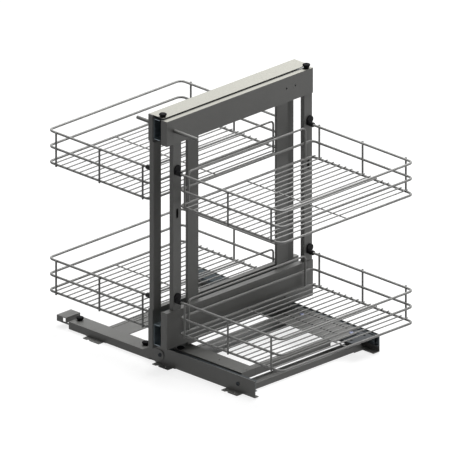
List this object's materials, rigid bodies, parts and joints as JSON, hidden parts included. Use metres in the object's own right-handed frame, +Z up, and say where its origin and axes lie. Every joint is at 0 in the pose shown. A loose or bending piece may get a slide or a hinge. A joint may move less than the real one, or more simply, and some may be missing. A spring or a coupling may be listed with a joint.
{
  "type": "blind corner pull out",
  "caption": "Steel corner cabinet fitting: a carriage with wire baskets slides along a low base on telescopic runners, and a second basket frame pulls out beside it.",
  "frame": {"origin": "middle of the whole part on the cabinet floor, under the closed state", "axes": "+X along the base towards the blind side, -Y out of the cabinet's front, +Z up"},
  "size_m": [0.779, 0.5, 0.672],
  "materials": {
    "painted_frame": "satin dark grey powder coat",
    "basket_wire": "satin grey coated wire",
    "runner_zinc": "dark zinc plated steel",
    "black_plastic": "matt black moulding",
    "stop_rubber": "black rubber",
    "screw_zinc": "zinc plated steel"
  },
  "bodies": {
    "base": {"front_rail": "painted_frame", "low_front_rail": "painted_frame", "rear_rail": "painted_frame", "left_cross_plate": "painted_frame", "middle_cross_plate": "painted_frame", "right_cross_bar": "painted_frame", "end_bracket": "painted_frame", "right_front_foot": "painted_frame", "right_rear_foot": "painted_frame", "rail_screws": "screw_zinc", "base_stop_buttons": "stop_rubber", "front_base_runner": "runner_zinc", "rear_base_runner": "runner_zinc"},
    "base_runner_middles": {"front_base_middle": "runner_zinc", "rear_base_middle": "runner_zinc"},
    "carriage": {"front_base_slider": "runner_zinc", "rear_base_slider": "runner_zinc", "front_carriage_plate": "painted_frame", "rear_carriage_plate": "painted_frame", "rear_perforated_strip": "runner_zinc", "carriage_cross_bar": "painted_frame", "plate_screws": "screw_zinc", "carriage_stop_button": "stop_rubber", "front_upright": "painted_frame", "rear_upright": "painted_frame", "top_beam": "painted_frame", "lower_beam": "painted_frame", "front_carriage_post": "painted_frame", "rear_carriage_post": "painted_frame", "beam_stop_button": "stop_rubber", "carriage_grip": "painted_frame", "upper_rear_basket": "basket_wire", "lower_rear_basket": "basket_wire", "carriage_clips": "black_plastic", "top_runner_fixed": "runner_zinc", "lower_runner_fixed": "runner_zinc"},
    "pull_out_runner_middles": {"top_runner_middle": "runner_zinc", "lower_runner_middle": "runner_zinc"},
    "pull_out_frame": {"top_runner_slider": "runner_zinc", "lower_runner_slider": "runner_zinc", "top_channel": "painted_frame", "lower_channel": "painted_frame", "pull_out_front_post": "painted_frame", "pull_out_rear_post": "painted_frame", "pull_out_grip": "painted_frame", "channel_stop_button": "stop_rubber", "upper_front_basket": "basket_wire", "lower_front_basket": "basket_wire", "pull_out_clips": "black_plastic"}
  },
  "joints": [
    {"name": "carriage_slide", "type": "slide", "parent": "base", "child": "carriage", "axis": [-1, 0, 0], "range_m": [0, 0.28]},
    {"name": "base_middle_slide", "type": "slide", "parent": "base", "child": "base_runner_middles", "axis": [-1, 0, 0], "range_m": [0, 0.14]},
    {"name": "pull_out_slide", "type": "slide", "parent": "carriage", "child": "pull_out_frame", "axis": [0, -1, 0], "range_m": [0, 0.42]},
    {"name": "pull_out_middle_slide", "type": "slide", "parent": "carriage", "child": "pull_out_runner_middles", "axis": [0, -1, 0], "range_m": [0, 0.21]}
  ],
  "couplings": [
    {"joint": "base_middle_slide", "follows": "carriage_slide", "ratio": 0.5},
    {"joint": "pull_out_middle_slide", "follows": "pull_out_slide", "ratio": 0.5}
  ]
}
